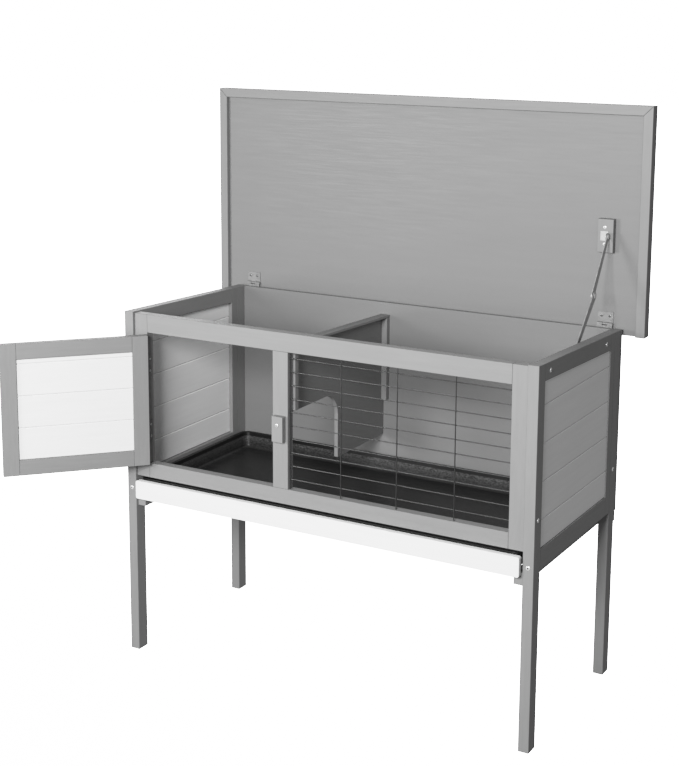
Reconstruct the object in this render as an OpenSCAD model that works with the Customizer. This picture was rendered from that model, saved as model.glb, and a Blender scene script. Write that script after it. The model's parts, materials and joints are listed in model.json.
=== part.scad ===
// Rabbit hutch on four legs: a planked cabin with a hinged felted roof on a folding stay, a planked
// door with a turn button, a wire window, an inner divider with a doorway, and a slide-out tray.
// Millimetres, +Z up. The origin is on the floor, under the middle of the open hutch's outer box.
// Inside the modules, X runs from the left side, Y from the front of the legs and Z from the floor.
// The hutch is drawn in use: roof up, door swung open, tray home, turn button hanging down.

/* [Body] */
// Width over the legs
body_w = 840; // [700:5:1000]
// Depth over the legs
body_d = 386; // [340:2:480]
// Height of the front legs at their front edge
top_front = 678; // [640:1:760]
// Height of the rear legs at their rear edge
top_rear = 663; // [620:1:740]
// Leg section across the hutch
leg_x = 20; // [16:1:24]
// Leg section front to back
leg_y = 28; // [24:1:34]
// Height of the sloping rail along the top of each side
side_rail_h = 30; // [24:1:40]
// Bottom of the lower side rails
side_low = 321; // [300:1:330]
// Top of the lower side rails, where the boards start
side_low_top = 357; // [350:1:370]
// Width of the extra upright in front of each rear leg
rear_stile_y = 20; // [14:1:26]
// Thickness of the back panel
back_t = 10; // [6:1:14]

/* [Boards] */
// Thickness of the side boards
board_t = 10; // [8:1:14]
// Covering width of one board
board_pitch = 66; // [55:1:80]
// Height of the lowest side board
first_board = 50; // [40:1:66]
// Bevel along each board's edges
board_bevel = 1.4; // [0.8:0.1:2.5]
// Covering width of one door board
door_board_pitch = 61; // [50:1:66]

/* [Front frame] */
// Thickness of the front frame
frame_t = 18; // [14:1:22]
// Distance of the front frame behind the front of the legs
frame_back = 5; // [3:1:8]
// Top of the front frame
frame_top = 675; // [640:1:678]
// Underside of the top rail
frame_top_low = 640; // [600:1:650]
// Top of the bottom rail
frame_low_top = 385; // [375:1:400]
// Underside of the bottom rail
frame_low = 356; // [354:1:370]
// Width of the end uprights
end_stile = 29; // [24:1:40]
// Left edge of the middle upright
mid_stile_x = 327; // [280:1:380]
// Width of the middle upright
mid_stile = 32; // [26:1:44]

/* [Window] */
// Wire diameter
wire_d = 2; // [1.2:0.1:3]
// Spacing of the level wires
wire_pitch_z = 25; // [19:0.5:30]
// Spacing of the upright wires
wire_pitch_x = 111; // [60:1:130]
// Distance of the last upright wire from the body's left side
last_wire_x = 688; // [640:1:720]
// Distance of the top level wire below the frame's top rail
top_wire_drop = 11.5; // [6:0.5:20]

/* [Door] */
// Gap round the door
door_gap = 1.5; // [1.2:0.1:3]
// Door thickness
door_t = 14; // [13:1:17]
// Width of the door's frame pieces
door_frame_w = 30; // [24:1:36]
// Thickness of the door's boards
door_board_t = 8; // [7:1:11]
// How far the door stands open
door_angle = 133; // [0:1:170]

/* [Turn button] */
// Button width
button_w = 23; // [18:1:28]
// Button length
button_h = 48; // [40:1:60]
// Button thickness
button_t = 11; // [8:1:14]
// Top of the button
button_top = 522; // [460:1:600]
// Distance of its screw below the button's top
button_screw_drop = 16; // [10:1:20]

/* [Divider] */
// Right face of the divider
divider_x = 352; // [348:1:354]
// Thickness of the divider
divider_t = 8; // [5:1:12]
// Lower edge of the divider
divider_low = 393; // [380:1:420]
// Distance of its top edge below the slope of the side rails
divider_drop = 24; // [15:1:40]
// Far edge of the doorway through it
doorway_y = 200; // [150:1:240]
// Height of the doorway's top above the floor
doorway_top = 523; // [480:1:560]
// Radius of the doorway's corner
doorway_r = 46; // [15:1:60]
// Section of the cleats on the divider
cleat = 12; // [8:1:16]
// Height of the batten along the divider's top
batten_h = 5; // [4:1:12]

/* [Tray] */
// Depth of the tray
tray_h = 33.7; // [20:0.1:33.7]
// Thickness of the tray's walls and floor
tray_t = 2.2; // [1.5:0.1:3]
// Width of the rim round the tray
tray_rim = 7; // [4:1:10]
// Corner radius of the tray
tray_r = 18; // [8:1:30]
// Height of the board on the tray's front
tray_board_h = 36; // [30:1:38]
// Thickness of the board on the tray's front
tray_board_t = 11.5; // [8:0.5:14]
// How far that board stands proud of the legs
tray_board_proud = 7; // [2:1:10]
// Width of the runners
runner_w = 18; // [14:1:22]
// Height of the runners
runner_h = 23; // [16:1:26]

/* [Roof] */
// How far the roof passes the body on each side
roof_side = 43; // [20:1:60]
// Distance from the hinge line to the roof's front edge
roof_front = 404; // [400:1:430]
// Distance from the hinge line to the roof's rear edge
roof_rear = 19; // [12:1:30]
// Width of the boards framing the roof
fascia_w = 18; // [14:1:24]
// Height of the boards framing the roof
fascia_h = 23; // [18:1:30]
// Depth of the recess under the roof panel
roof_recess = 9; // [5:1:12]
// Thickness of the roofing felt
felt_t = 2.5; // [1.5:0.1:4]

/* [Stay] */
// Distance of the upper pivot from the roof's hinge line
stay_up = 165; // [160:1:170]
// Distance of the lower pivot behind the front of the legs
stay_y = 220; // [212:1:220]
// Height of the lower pivot
stay_z = 644; // [642:1:648]
// Bend left at the elbow when the roof is up
stay_bend = 11; // [9:1:13]
// How much longer the lower arm is than the upper arm
stay_extra = 14; // [10:1:18]
// Thickness of the arms
arm_t = 2; // [1.5:0.1:3]

/* [Hidden] */
$fn = 48;

// Painted timber, white boards, felt, plastic and metal
grey = [0.46, 0.47, 0.48];
panel_grey = [0.42, 0.44, 0.46];
white = [0.95, 0.95, 0.93];
felt_black = [0.12, 0.12, 0.13];
tray_black = [0.05, 0.05, 0.05];
steel = [0.62, 0.63, 0.65];
zinc = [0.78, 0.78, 0.76];

// Play between pieces that slide or turn on each other
play = 0.3;
// Radial clearance of a pin in its bore
pin_play = 0.05;

// The slope of the sides' top, which the closed roof follows
slope = atan((top_front - top_rear) / body_d);
function top_z(y) = top_front - y * tan(slope);
function rail_under(y) = top_z(y) - side_rail_h;

frame_rear = frame_back + frame_t;
left_stile_end = leg_x + end_stile;
right_stile_start = body_w - leg_x - end_stile;
mid_stile_end = mid_stile_x + mid_stile;
rear_leg_y = body_d - leg_y;
rear_stile_start = rear_leg_y - rear_stile_y;
back_rear = body_d + back_t;
back_low = 316;
rear_batten_t = 6;
rear_batten_h = 19;
board_in = 2;
side_boards_n = 5;
board_gap = 0.2;

// Door, hung on two butt hinges at the front face of the left upright
door_x0 = left_stile_end + door_gap;
door_x1 = mid_stile_x - door_gap;
door_z0 = frame_low_top + door_gap;
door_z1 = frame_top_low - door_gap;
door_y0 = frame_back;
door_y1 = door_y0 + door_t;
knuckle_r = 2.4;
pin_r = 1.2;
leaf_t = 0.6;
leaf_depth = 12;
hinge_h = 45;
door_hinge_x = left_stile_end + door_gap / 2;
door_hinge_y = frame_back - knuckle_r - 0.1;
door_hinge_zs = [door_z0 + 62, door_z1 - 62];

// Roof hinge line, just behind the back panel
roof_knuckle_r = 2.5;
roof_leaf_t = 1.2;
roof_leaf_l = 22;
roof_hinge_w = 30;
roof_hinge_y = back_rear + roof_knuckle_r + 0.7;
panel_n = roof_knuckle_r + play;
roof_rest = 0.5;
roof_hinge_z = top_z(roof_hinge_y) + (roof_recess - panel_n + roof_rest) / cos(slope);
roof_hinge_xs = [leg_x, body_w - leg_x - roof_hinge_w];
fascia_n = panel_n - roof_recess;
felt_n = fascia_n + fascia_h;
roof_x0 = -roof_side;
roof_x1 = body_w + roof_side;

// Tray on its runners
runner_top = 319;
tray_z = runner_top + play;
tray_side = 4;
tray_y0 = tray_board_t - tray_board_proud;
tray_y1 = body_d - 10;
tray_board_z = 313;
tray_board_gap = 3.5;
tray_board_r = 4;

// Turn button on its screw
button_x = mid_stile_x + mid_stile / 2;
button_screw_z = button_top - button_screw_drop;
button_back = frame_back - 0.4;
button_screw_r = 2.2;
button_r = 1.5;

// Folding stay, in planes beside the right top rail: across the hutch from the rail inward come the
// lower bracket, the lower arm, the upper arm and the upper bracket's ear
rail_face = body_w - leg_x;
bracket_t = 1.5;
rivet_head = 0.8;
rivet_r = 2.4;
lower_arm_x = rail_face - bracket_t - 4;
upper_arm_x = lower_arm_x - arm_t - rivet_head - play;
ear_x = upper_arm_x - arm_t - play - bracket_t;
block_t = 12;
ear_reach = 6;
stay_n = panel_n - block_t - bracket_t - ear_reach;
arm_end_r = 5.2;
elbow_r = 7.5;
boss_r = 4.2;
elbow_rivet_r = 4.6;
bracket_screw_gap = 12;
block_screw_gap = 15.5;

// Heads of the carcass screws and of the small hinge and bracket screws
frame_head_r = 3.8;
frame_head_h = 1.3;
small_head_r = 3;
small_head_h = 0.9;
small_shank_r = 1.4;

// A point of the roof at a distance u from the hinge line and n from it outward, once the roof
// has swung down by an angle
function roof_point(u, n, down) =
    [roof_hinge_y - u * sin(down) + n * cos(down),
     roof_hinge_z + u * cos(down) + n * sin(down)];
function reach(p, q) = norm(p - q);
// Where two arms meet, behind and below the straight way from p down to q
function meet(p, rp, q, rq) =
    let (d = reach(p, q), a = (rp * rp - rq * rq + d * d) / (2 * d),
         h = sqrt(rp * rp - a * a), e = (q - p) / d)
    p + a * e + h * [-e[1], e[0]];

stay_top_pivot = roof_point(stay_up, stay_n, 0);
stay_low_pivot = [stay_y, stay_z];
stay_span = reach(stay_top_pivot, stay_low_pivot);
stay_mean = sqrt((pow(stay_span, 2) - pow(stay_extra, 2) * (1 - cos(stay_bend)) / 2)
                 / (2 + 2 * cos(stay_bend)));
upper_arm = stay_mean - stay_extra / 2;
lower_arm = stay_mean + stay_extra / 2;
elbow = meet(stay_top_pivot, upper_arm, stay_low_pivot, lower_arm);

// Outer box of the hutch as drawn, which sets the origin
function door_corner(d, t) =
    [door_hinge_x + d * cos(door_angle) + t * sin(door_angle),
     door_hinge_y - d * sin(door_angle) + t * cos(door_angle)];
door_reach = door_x1 - door_hinge_x;
outer_left = min(roof_x0, door_corner(door_reach, door_y0 - door_hinge_y)[0]);
outer_front = door_corner(door_reach, door_y1 - door_hinge_y)[1];
outer_rear = roof_hinge_y + felt_n + felt_t;
mid_x = (outer_left + roof_x1) / 2;
mid_y = (outer_front + outer_rear) / 2;

// ---------- placing ----------

module placed() {
    translate([-mid_x, -mid_y, 0]) children();
}

// The door swung open about its hinges
module swung() {
    translate([door_hinge_x, door_hinge_y, 0]) rotate([0, 0, -door_angle])
        translate([-door_hinge_x, -door_hinge_y, 0]) children();
}

// The raised roof: its children use X across, Y from the hinge line to the front edge and Z out
// of the underside
module raised() {
    translate([0, roof_hinge_y, roof_hinge_z]) rotate([90, 0, 0]) children();
}

// ---------- shapes ----------

module block(x0, x1, y0, y1, z0, z1) {
    translate([x0, y0, z0]) cube([x1 - x0, y1 - y0, z1 - z0]);
}

// A [y, z] outline given thickness along X
module across(x0, w, points) {
    translate([x0, 0, 0]) rotate([90, 0, 90]) linear_extrude(w) polygon(points);
}

function bevelled(t, z0, z1, b) =
    [[0, z0 + b], [b, z0], [t - b, z0], [t, z0 + b],
     [t, z1 - b], [t - b, z1], [b, z1], [0, z1 - b]];

// An upright from a height to the sloping top
module upright(x0, y0, y1, z0) {
    across(x0, leg_x, [[y0, z0], [y1, z0], [y1, top_z(y1)], [y0, top_z(y0)]]);
}

module rounded(w, h, r) {
    translate([r, 0]) square([w - 2 * r, h]);
    translate([0, r]) square([w, h - 2 * r]);
    for (x = [r, w - r], y = [r, h - r]) translate([x, y]) circle(r);
}

// A pan-head wood screw along +Z, its head's underside at z = 0
module screw(head_r, head_h, shank_r, length) {
    difference() {
        cylinder(h = head_h, r1 = head_r, r2 = head_r * 0.72);
        translate([-head_r, -head_r * 0.12, head_h * 0.55]) cube([2 * head_r, head_r * 0.24, head_h]);
    }
    translate([0, 0, -length]) cylinder(h = length + 0.01, r = shank_r);
}

// ---------- sides ----------

module leg(right, rear) {
    y0 = rear ? rear_leg_y : 0;
    color(grey) upright(right ? body_w - leg_x : 0, y0, y0 + leg_y, 0);
}

module top_rail(right) {
    color(grey) across(right ? body_w - leg_x : 0, leg_x,
        [[leg_y, rail_under(leg_y)], [rear_stile_start, rail_under(rear_stile_start)],
         [rear_stile_start, top_z(rear_stile_start)], [leg_y, top_z(leg_y)]]);
}

module bottom_rail(right) {
    x0 = right ? body_w - leg_x : 0;
    color(grey) block(x0, x0 + leg_x, leg_y, rear_stile_start, side_low, side_low_top);
}

module rear_stile(right) {
    color(grey) upright(right ? body_w - leg_x : 0, rear_stile_start, rear_leg_y, side_low);
}

function board_bottom(i) = i == 0 ? side_low_top : side_low_top + first_board + (i - 1) * board_pitch;

module side_boards(right) {
    x0 = right ? body_w - board_in - board_t : board_in;
    color(white) for (i = [0 : side_boards_n - 1]) intersection() {
        translate([x0, rear_stile_start, 0]) rotate([90, 0, 0])
            linear_extrude(rear_stile_start - leg_y)
                polygon(bevelled(board_t, board_bottom(i), board_bottom(i + 1) - board_gap, board_bevel));
        across(x0 - 1, board_t + 2,
            [[leg_y, 0], [rear_stile_start, 0], [rear_stile_start, rail_under(rear_stile_start)],
             [leg_y, rail_under(leg_y)]]);
    }
}

module side_runner(right) {
    x0 = right ? body_w - leg_x - runner_w : leg_x;
    color(grey) block(x0, x0 + runner_w, frame_back, body_d, runner_top - runner_h, runner_top);
}

// ---------- back ----------

module rear_batten() {
    color(grey) block(0, body_w, body_d, body_d + rear_batten_t, back_low - rear_batten_h, back_low);
}

module back_panel() {
    color(panel_grey) across(0, body_w,
        [[body_d, back_low], [back_rear, back_low],
         [back_rear, top_z(back_rear)], [body_d, top_z(body_d)]]);
}

// ---------- front frame ----------

module front_piece(x0, x1, z0, z1) {
    color(grey) block(x0, x1, frame_back, frame_rear, z0, z1);
}

module front_left_stile() {
    front_piece(leg_x, left_stile_end, frame_low, frame_top);
}

module front_middle_stile() {
    front_piece(mid_stile_x, mid_stile_end, frame_low_top, frame_top_low);
}

module front_right_stile() {
    front_piece(right_stile_start, body_w - leg_x, frame_low, frame_top);
}

module front_top_rail() {
    front_piece(left_stile_end, right_stile_start, frame_top_low, frame_top);
}

module front_bottom_rail() {
    front_piece(left_stile_end, right_stile_start, frame_low, frame_low_top);
}

// Level wires behind upright wires, their ends let into the frame
module wire_mesh() {
    let_in = 4;
    wire_y = frame_back + 7;
    rows = 1 + floor((frame_top_low - top_wire_drop - frame_low_top - wire_d) / wire_pitch_z);
    color(steel) {
        for (i = [0 : rows - 1])
            translate([mid_stile_end - let_in, wire_y, frame_top_low - top_wire_drop - i * wire_pitch_z])
                rotate([0, 90, 0])
                    cylinder(h = right_stile_start - mid_stile_end + 2 * let_in, d = wire_d);
        for (x = concat([mid_stile_end + wire_d], [for (k = [2 : -1 : 0]) last_wire_x - k * wire_pitch_x]))
            translate([x, wire_y - wire_d, frame_low_top - let_in])
                cylinder(h = frame_top_low - frame_low_top + 2 * let_in, d = wire_d);
    }
}

// ---------- divider ----------

function divider_top(y) = top_z(y) - divider_drop;

module divider_panel() {
    color(panel_grey) translate([divider_x - divider_t, 0, 0]) rotate([90, 0, 90])
        linear_extrude(divider_t) difference() {
            polygon([[frame_rear, divider_low], [body_d, divider_low],
                     [body_d, divider_top(body_d)], [frame_rear, divider_top(frame_rear)]]);
            translate([frame_rear - 1, divider_low - 1])
                square([doorway_y - frame_rear + 1, doorway_top - doorway_r - divider_low + 1]);
            translate([frame_rear - 1, divider_low - 1])
                square([doorway_y - doorway_r - frame_rear + 1, doorway_top - divider_low + 1]);
            translate([doorway_y - doorway_r, doorway_top - doorway_r]) circle(doorway_r);
        }
}

module divider_top_batten() {
    color(grey) across(divider_x, cleat,
        [[frame_rear, divider_top(frame_rear) - batten_h], [body_d, divider_top(body_d) - batten_h],
         [body_d, divider_top(body_d)], [frame_rear, divider_top(frame_rear)]]);
}

module divider_cleat(y0, z0) {
    color(grey) across(divider_x, cleat,
        [[y0, z0], [y0 + cleat, z0],
         [y0 + cleat, divider_top(y0 + cleat) - batten_h], [y0, divider_top(y0) - batten_h]]);
}

module divider_front_cleat() {
    divider_cleat(frame_rear, doorway_top + 6);
}

module divider_rear_cleat() {
    divider_cleat(body_d - cleat, 467);
}

// ---------- tray ----------

module tray_outline(inset) {
    w = body_w - 2 * leg_x - 2 * tray_side;
    translate([leg_x + tray_side + inset, tray_y0 + inset])
        rounded(w - 2 * inset, tray_y1 - tray_y0 - 2 * inset, tray_r - inset / 2);
}

module tray_pan() {
    color(tray_black) difference() {
        union() {
            translate([0, 0, tray_z]) linear_extrude(tray_h) tray_outline(tray_rim);
            translate([0, 0, tray_z + tray_h - tray_t]) linear_extrude(tray_t) tray_outline(0);
        }
        translate([0, 0, tray_z + tray_t]) linear_extrude(tray_h) tray_outline(tray_rim + tray_t);
    }
}

module tray_front_board() {
    x0 = leg_x + tray_board_gap;
    color(white) translate([x0, tray_y0, tray_board_z]) rotate([90, 0, 0])
        linear_extrude(tray_board_t) rounded(body_w - 2 * x0, tray_board_h, tray_board_r);
}

// Screws from inside the pan, through its front wall and the gap under its rim, into the board
module tray_screws() {
    n = 3;
    pitch = (body_w - 2 * leg_x) / n;
    color(zinc) for (i = [0 : n - 1])
        translate([leg_x + (i + 0.5) * pitch, tray_y0 + tray_rim + tray_t, tray_z + tray_h / 2])
            rotate([-90, 0, 0]) screw(frame_head_r, frame_head_h, 1.6, 16);
}

// ---------- door, drawn shut ----------

module door_piece(x0, x1, z0, z1) {
    color(grey) swung() block(x0, x1, door_y0, door_y1, z0, z1);
}

module door_hinge_stile() {
    door_piece(door_x0, door_x0 + door_frame_w, door_z0, door_z1);
}

module door_free_stile() {
    door_piece(door_x1 - door_frame_w, door_x1, door_z0, door_z1);
}

module door_top_rail() {
    door_piece(door_x0 + door_frame_w, door_x1 - door_frame_w, door_z1 - door_frame_w, door_z1);
}

module door_bottom_rail() {
    door_piece(door_x0 + door_frame_w, door_x1 - door_frame_w, door_z0, door_z0 + door_frame_w);
}

module door_boards() {
    z0 = door_z0 + door_frame_w;
    z1 = door_z1 - door_frame_w;
    n = ceil((z1 - z0) / door_board_pitch);
    color(white) swung() translate([door_x0 + door_frame_w, 0, 0])
        for (i = [0 : n - 1])
            across(0, door_x1 - door_x0 - 2 * door_frame_w,
                [for (p = bevelled(door_board_t, z0 + i * door_board_pitch,
                                   min(z0 + (i + 1) * door_board_pitch, z1) - board_gap, board_bevel))
                    [door_y0 + (door_t - door_board_t) / 2 + p[0], p[1]]]);
}

// ---------- door hinges ----------

// The heights of a hinge's three knuckles: the outer two belong to the frame's leaf
function knuckle_z(i) = -hinge_h / 2 + i * hinge_h / 3;

module door_knuckle(i) {
    gap = i == 1 ? play / 2 : 0;
    translate([door_hinge_x, door_hinge_y, knuckle_z(i) + gap])
        cylinder(h = hinge_h / 3 - 2 * gap, r = knuckle_r);
}

// One leaf in the gap beside the door, with its knuckles
module door_leaf(face_x, side, knuckles) {
    x0 = side > 0 ? face_x : face_x - leaf_t;
    difference() {
        union() {
            block(x0, x0 + leaf_t, door_y0 + 0.2, door_y0 + leaf_depth, -hinge_h / 2, hinge_h / 2);
            for (i = knuckles) {
                gap = i == 1 ? play / 2 : 0;
                door_knuckle(i);
                block(x0, x0 + leaf_t, door_hinge_y, door_y0 + 0.3,
                      knuckle_z(i) + gap, knuckle_z(i) + hinge_h / 3 - gap);
            }
        }
        translate([door_hinge_x, door_hinge_y, -hinge_h])
            cylinder(h = 2 * hinge_h, r = pin_r + pin_play);
    }
}

module door_hinge_frame_leaves() {
    color(steel) for (z = door_hinge_zs)
        translate([0, 0, z]) difference() {
            door_leaf(left_stile_end, 1, [0, 2]);
            translate([door_hinge_x, door_hinge_y, knuckle_z(1)])
                cylinder(h = hinge_h / 3, r = knuckle_r + 0.15);
        }
}

module door_hinge_door_leaves() {
    color(steel) swung() for (z = door_hinge_zs)
        translate([0, 0, z]) door_leaf(door_x0, -1, [1]);
}

module door_hinge_pins() {
    color(zinc) for (z = door_hinge_zs) translate([door_hinge_x, door_hinge_y, z]) {
        translate([0, 0, -hinge_h / 2 - 1]) cylinder(h = hinge_h + 2, r = pin_r);
        translate([0, 0, hinge_h / 2 + 0.1]) cylinder(h = 1, r = knuckle_r - 0.4);
    }
}

// Flat heads just proud of the leaves, at a height above and below each hinge's middle
module door_leaf_screws(face_x, side) {
    for (z = door_hinge_zs, dz = [-hinge_h / 4, hinge_h / 4])
        translate([face_x + side * leaf_t, door_y0 + leaf_depth / 2 + 1, z + dz])
            rotate([0, side * 90, 0]) screw(2.3, 0.12, 1.2, 9);
}

// Hinge screws, and one screw through the outer face at each corner of the door's frame
module door_screws() {
    corner = door_frame_w * 0.6;
    color(zinc) swung() {
        door_leaf_screws(door_x0, -1);
        for (x = [door_x0 + corner, door_x1 - corner], z = [door_z0 + corner, door_z1 - corner])
            translate([x, door_y0, z]) rotate([90, 0, 0])
                screw(frame_head_r, frame_head_h, 1.6, door_t - 3);
    }
}

// ---------- turn button ----------

module turn_button() {
    color(grey) difference() {
        translate([button_x - button_w / 2, button_back, button_top - button_h]) rotate([90, 0, 0])
            linear_extrude(button_t) rounded(button_w, button_h, button_r);
        translate([button_x, button_back + 1, button_screw_z]) rotate([90, 0, 0])
            cylinder(h = button_t + 2, r = button_screw_r + 0.08);
    }
}

module turn_button_screw() {
    color(zinc) translate([button_x, button_back - button_t - 0.3, button_screw_z])
        rotate([90, 0, 0]) screw(3.4, 1.6, button_screw_r, button_t + frame_t - 4);
}

// ---------- roof, in the raised roof's own directions ----------

module roof_piece(outline, n0, n1) {
    raised() translate([0, 0, -n1]) linear_extrude(n1 - n0) polygon(outline);
}

module roof_panel() {
    color(panel_grey) roof_piece(
        [[roof_x0 + fascia_w, -roof_rear], [roof_x1 - fascia_w, -roof_rear],
         [roof_x1 - fascia_w, roof_front - fascia_w], [roof_x0 + fascia_w, roof_front - fascia_w]],
        panel_n, felt_n);
}

module roof_front_fascia() {
    color(grey) roof_piece(
        [[roof_x0, roof_front], [roof_x0 + fascia_w, roof_front - fascia_w],
         [roof_x1 - fascia_w, roof_front - fascia_w], [roof_x1, roof_front]],
        fascia_n, felt_n);
}

module roof_side_fascia(outer, inner) {
    color(grey) roof_piece(
        [[outer, -roof_rear], [inner, -roof_rear], [inner, roof_front - fascia_w], [outer, roof_front]],
        fascia_n, felt_n);
}

module roof_felt() {
    edge = 0.8;
    color(felt_black) roof_piece(
        [[roof_x0 + edge, -roof_rear], [roof_x1 - edge, -roof_rear],
         [roof_x1 - edge, roof_front - edge], [roof_x0 + edge, roof_front - edge]],
        felt_n, felt_n + felt_t);
}

// ---------- roof hinges ----------

module roof_knuckles(list) {
    for (i = list) {
        gap = i == 1 ? play / 2 : 0;
        translate([i * roof_hinge_w / 3 + gap, 0, 0]) rotate([0, 90, 0])
            cylinder(h = roof_hinge_w / 3 - 2 * gap, r = roof_knuckle_r);
    }
}

module roof_pin_hole() {
    translate([-1, 0, 0]) rotate([0, 90, 0]) cylinder(h = roof_hinge_w + 2, r = pin_r + pin_play);
}

// The leaf down the rear face of the back panel
module roof_hinge_body_leaves() {
    color(steel) for (x = roof_hinge_xs) translate([x, roof_hinge_y, roof_hinge_z]) difference() {
        union() {
            roof_knuckles([0, 2]);
            block(0, roof_hinge_w, back_rear - roof_hinge_y, back_rear - roof_hinge_y + roof_leaf_t,
                  -roof_leaf_l, -roof_knuckle_r - play);
            for (i = [0, 2])
                block(i * roof_hinge_w / 3, (i + 1) * roof_hinge_w / 3, back_rear - roof_hinge_y,
                      back_rear - roof_hinge_y + roof_leaf_t, -roof_knuckle_r - play - 0.1, 0);
        }
        roof_pin_hole();
    }
}

// The leaf up the underside of the raised roof
module roof_hinge_roof_leaves() {
    color(steel) for (x = roof_hinge_xs) translate([x, roof_hinge_y, roof_hinge_z]) difference() {
        union() {
            roof_knuckles([1]);
            block(0, roof_hinge_w, panel_n - roof_leaf_t, panel_n, roof_knuckle_r + play, roof_leaf_l);
            block(roof_hinge_w / 3 + play / 2, roof_hinge_w * 2 / 3 - play / 2,
                  panel_n - roof_leaf_t, panel_n, 0, roof_knuckle_r + play + 0.1);
        }
        roof_pin_hole();
    }
}

module roof_hinge_pins() {
    color(zinc) for (x = roof_hinge_xs) translate([x - 0.5, roof_hinge_y, roof_hinge_z])
        rotate([0, 90, 0]) cylinder(h = roof_hinge_w + 1, r = pin_r);
}

// ---------- stay ----------

// A strip lying in a plane across the hutch, from one [y, z] point to another, with round ends and
// a rivet's hole at the first. Its sides run a little inside the round ends, so that they cross.
strip_nick = 0.2;
module stay_strip(x, from, to, r0, r1) {
    way = to - from;
    length = norm(way);
    translate([x, from[0], from[1]]) rotate([90, 0, 90]) rotate([0, 0, atan2(way[1], way[0])])
        difference() {
            union() {
                cylinder(h = arm_t, r = r0);
                translate([length, 0, 0]) cylinder(h = arm_t, r = r1);
                linear_extrude(arm_t)
                    polygon([[0, r0 - strip_nick], [length, r1 - strip_nick],
                             [length, strip_nick - r1], [0, strip_nick - r0]]);
            }
            translate([0, 0, -1]) cylinder(h = arm_t + 2, r = rivet_r + pin_play);
        }
}

module along_x(x0, x1, at, r) {
    translate([x0, at[0], at[1]]) rotate([0, 90, 0]) cylinder(h = x1 - x0, r = r);
}

module stay_upper_arm() {
    color(steel) stay_strip(upper_arm_x - arm_t, stay_top_pivot, elbow, arm_end_r, elbow_r);
}

module stay_lower_arm() {
    color(steel) stay_strip(lower_arm_x - arm_t, stay_low_pivot, elbow, arm_end_r, elbow_r);
}

// The elbow's rivet, parted in the gap between the arms
module stay_elbow_rivet_upper() {
    color(zinc) along_x(upper_arm_x - arm_t - rivet_head, upper_arm_x - arm_t, elbow, elbow_rivet_r);
}

module stay_elbow_rivet_lower() {
    color(zinc) along_x(lower_arm_x, lower_arm_x + rivet_head, elbow, elbow_rivet_r);
}

// A plate screwed to the inside of the right top rail, with the spacer the lower arm turns on
module stay_body_bracket() {
    plate_y = 36;
    plate_z = 14;
    color(steel) {
        translate([rail_face - bracket_t, stay_y - plate_y / 2, stay_z - plate_z / 2])
            rotate([90, 0, 90]) linear_extrude(bracket_t) rounded(plate_y, plate_z, 3);
        along_x(lower_arm_x + play / 2, rail_face - bracket_t + 0.01, stay_low_pivot, boss_r);
    }
}

module stay_lower_rivet() {
    color(zinc) {
        along_x(lower_arm_x - arm_t - rivet_head, lower_arm_x - arm_t - play / 2, stay_low_pivot, boss_r);
        along_x(lower_arm_x - arm_t - play / 2 - 0.01, rail_face - bracket_t, stay_low_pivot, rivet_r);
    }
}

// A wooden packing block on the underside of the roof
block_x0 = ear_x - 20;
block_x1 = rail_face - 2;
block_l = 62;
module stay_roof_block() {
    color(grey) raised()
        translate([block_x0, stay_up - block_l / 2, -panel_n]) cube([block_x1 - block_x0, block_l, block_t]);
}

// A plate on that block, with an ear that the upper arm hangs from
plate_w = 15;
plate_l = 18;
module stay_roof_bracket() {
    color(steel) raised() translate([ear_x + bracket_t - plate_w, 0, block_t - panel_n]) {
        translate([0, stay_up - plate_l / 2, 0]) cube([plate_w, plate_l, bracket_t]);
        translate([plate_w - bracket_t, stay_up, 0]) rotate([0, 90, 0]) linear_extrude(bracket_t)
            difference() {
                union() {
                    translate([-ear_reach - bracket_t, -6]) square([ear_reach + bracket_t, 12]);
                    translate([-ear_reach - bracket_t, 0]) circle(6);
                }
                translate([-ear_reach - bracket_t, 0]) circle(rivet_r);
            }
    }
}

module stay_upper_rivet() {
    color(zinc) {
        along_x(ear_x - rivet_head, ear_x, stay_top_pivot, boss_r);
        along_x(ear_x - 0.01, upper_arm_x + 0.02, stay_top_pivot, rivet_r);
        along_x(upper_arm_x + 0.01, upper_arm_x + rivet_head - 0.1, stay_top_pivot, boss_r);
    }
}

// ---------- screws ----------

// Screws of the carcass: through the legs into the side rails and the front frame, through the
// side top rails, and through the back panel into the rear legs
module frame_screws() {
    from_corner = 22;
    low_screw = side_low + 10;
    front_leg_z = side_low_top + 55;
    rear_leg_z = side_low_top + 45;
    back_rows = 4;
    back_z0 = 345;
    back_pitch = 100;
    leg_middles = [leg_x / 2, body_w - leg_x / 2];
    rail_ys = [leg_y + from_corner, rear_stile_start - from_corner];
    side_points = concat([[leg_y / 2, front_leg_z], [rear_leg_y + leg_y / 2, rear_leg_z]],
                         [for (y = rail_ys) [y, top_z(y) - side_rail_h / 2]]);
    color(zinc) {
        for (x = leg_middles) translate([x, 0, low_screw]) rotate([90, 0, 0]) frame_screw(leg_y + 12);
        for (at = side_points) {
            translate([0, at[0], at[1]]) rotate([0, -90, 0]) frame_screw(leg_x - 2);
            translate([body_w, at[0], at[1]]) rotate([0, 90, 0]) frame_screw(leg_x - 2);
        }
        for (x = leg_middles, i = [0 : back_rows - 1])
            translate([x, back_rear, back_z0 + i * back_pitch]) rotate([-90, 0, 0])
                frame_screw(back_t + leg_y / 2);
    }
}

module frame_screw(length) {
    screw(frame_head_r, frame_head_h, 1.8, length);
}

module small_screw(length) {
    screw(small_head_r, small_head_h, small_shank_r, length);
}

// How far the screws of a roof hinge's leaf stand from its ends and from the hinge line
leaf_screw_xs = [7, roof_hinge_w - 7];
leaf_screw_u = 15;

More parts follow.
